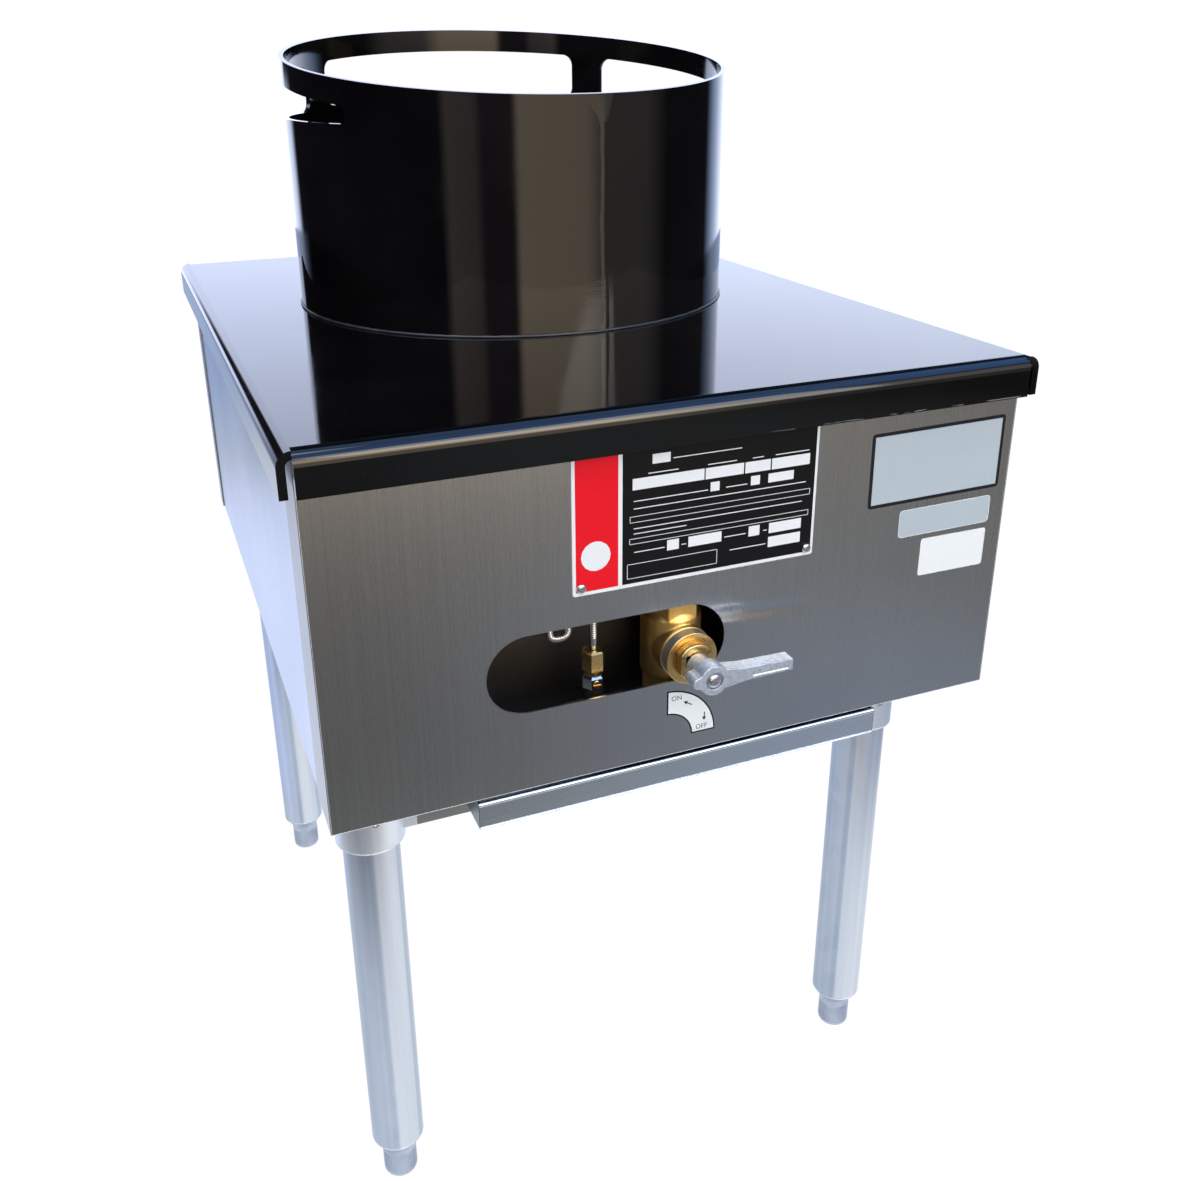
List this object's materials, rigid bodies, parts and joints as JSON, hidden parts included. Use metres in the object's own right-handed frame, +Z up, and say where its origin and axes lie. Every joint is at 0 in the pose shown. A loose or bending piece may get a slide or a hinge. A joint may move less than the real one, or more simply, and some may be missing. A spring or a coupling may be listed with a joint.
{
  "type": "wok range",
  "caption": "Free-standing single gas wok range: black top plate with a raised slotted wok ring, stainless cabinet with control window and lever, tubular legs and a drip tray.",
  "frame": {"origin": "on the floor, under the middle of the bounding box", "axes": "+Z up, front panel towards -Y, +X to the right seen from the front"},
  "size_m": [0.4738, 0.6522, 0.8044],
  "materials": {
    "black_enamel": "gloss",
    "stainless": "brushed",
    "galvanised": "satin",
    "foot_alloy": "satin",
    "black_pipe": "satin",
    "brass": "satin",
    "zinc_casting": "satin",
    "plated_steel": "polished",
    "cast_iron": "rough"
  },
  "bodies": {
    "range": {"back_panel": "stainless", "baffle_lower": "stainless", "baffle_upper": "stainless", "base_rail_left": "galvanised", "base_rail_right": "galvanised", "burner": "cast_iron", "burner_bars": "galvanised", "cross_rail_front": "galvanised", "cross_rail_rear": "galvanised", "data_plate": "stainless", "flame_guard": "stainless", "foot_insert_front_left": "foot_alloy", "foot_insert_front_right": "foot_alloy", "foot_insert_rear_left": "foot_alloy", "foot_insert_rear_right": "foot_alloy", "front_panel": "stainless", "gas_jet": "brass", "inlet_elbow": "black_pipe", "inlet_pipe": "black_pipe", "leg_socket_front_left": "galvanised", "leg_socket_front_right": "galvanised", "leg_socket_rear_left": "galvanised", "leg_socket_rear_right": "galvanised", "leg_tube_front_left": "galvanised", "leg_tube_front_right": "galvanised", "leg_tube_rear_left": "galvanised", "leg_tube_rear_right": "galvanised", "manifold_pipe": "black_pipe", "manifold_plug": "black_pipe", "mixing_tube": "cast_iron", "packing_gland": "brass", "pilot_burner": "plated_steel", "pilot_hex_nut": "brass", "pilot_neck": "brass", "pilot_tube": "plated_steel", "pilot_valve": "plated_steel", "plate_screws": "plated_steel", "ring_weld": "black_enamel", "riser_elbow": "black_pipe", "riser_pipe": "black_pipe", "set_screws": "plated_steel", "side_panel_left": "stainless", "side_panel_right": "stainless", "top_plate": "black_enamel", "tray_guide_left": "stainless", "tray_guide_right": "stainless", "valve_body": "brass", "valve_bonnet": "brass", "wok_ring": "black_enamel"},
    "drip_tray": {"drip_tray": "stainless"},
    "gas_lever": {"lever": "zinc_casting", "lever_screw": "plated_steel", "valve_ball": "brass"},
    "air_shutter": {"air_shutter": "stainless"},
    "pilot_screw": {"pilot_screw": "brass"},
    "foot_front_left": {"foot_front_left": "foot_alloy"},
    "foot_front_right": {"foot_front_right": "foot_alloy"},
    "foot_rear_left": {"foot_rear_left": "foot_alloy"},
    "foot_rear_right": {"foot_rear_right": "foot_alloy"}
  },
  "joints": [
    {"name": "drip_tray_slide", "type": "slide", "parent": "range", "child": "drip_tray", "axis": [0, -1, 0], "range_m": [0, 0.4]},
    {"name": "gas_lever_turn", "type": "hinge", "parent": "range", "child": "gas_lever", "pos_m": [-0.0041, -0.2655, 0.443], "axis": [0, -1, 0], "range_deg": [0, 90]},
    {"name": "air_shutter_turn", "type": "hinge", "parent": "range", "child": "air_shutter", "pos_m": [-0.00215, -0.17952, 0.543], "axis": [0.0226, 0.9997, 0], "range_deg": [0, 60]},
    {"name": "pilot_screw_turn", "type": "hinge", "parent": "range", "child": "pilot_screw", "pos_m": [-0.0566, -0.27175, 0.4237], "axis": [0, -1, 0], "range_deg": [0, 720]},
    {"name": "foot_front_left_height", "type": "slide", "parent": "range", "child": "foot_front_left", "axis": [0, 0, -1], "range_m": [0, 0.02]},
    {"name": "foot_front_right_height", "type": "slide", "parent": "range", "child": "foot_front_right", "axis": [0, 0, -1], "range_m": [0, 0.02]},
    {"name": "foot_rear_left_height", "type": "slide", "parent": "range", "child": "foot_rear_left", "axis": [0, 0, -1], "range_m": [0, 0.02]},
    {"name": "foot_rear_right_height", "type": "slide", "parent": "range", "child": "foot_rear_right", "axis": [0, 0, -1], "range_m": [0, 0.02]}
  ]
}
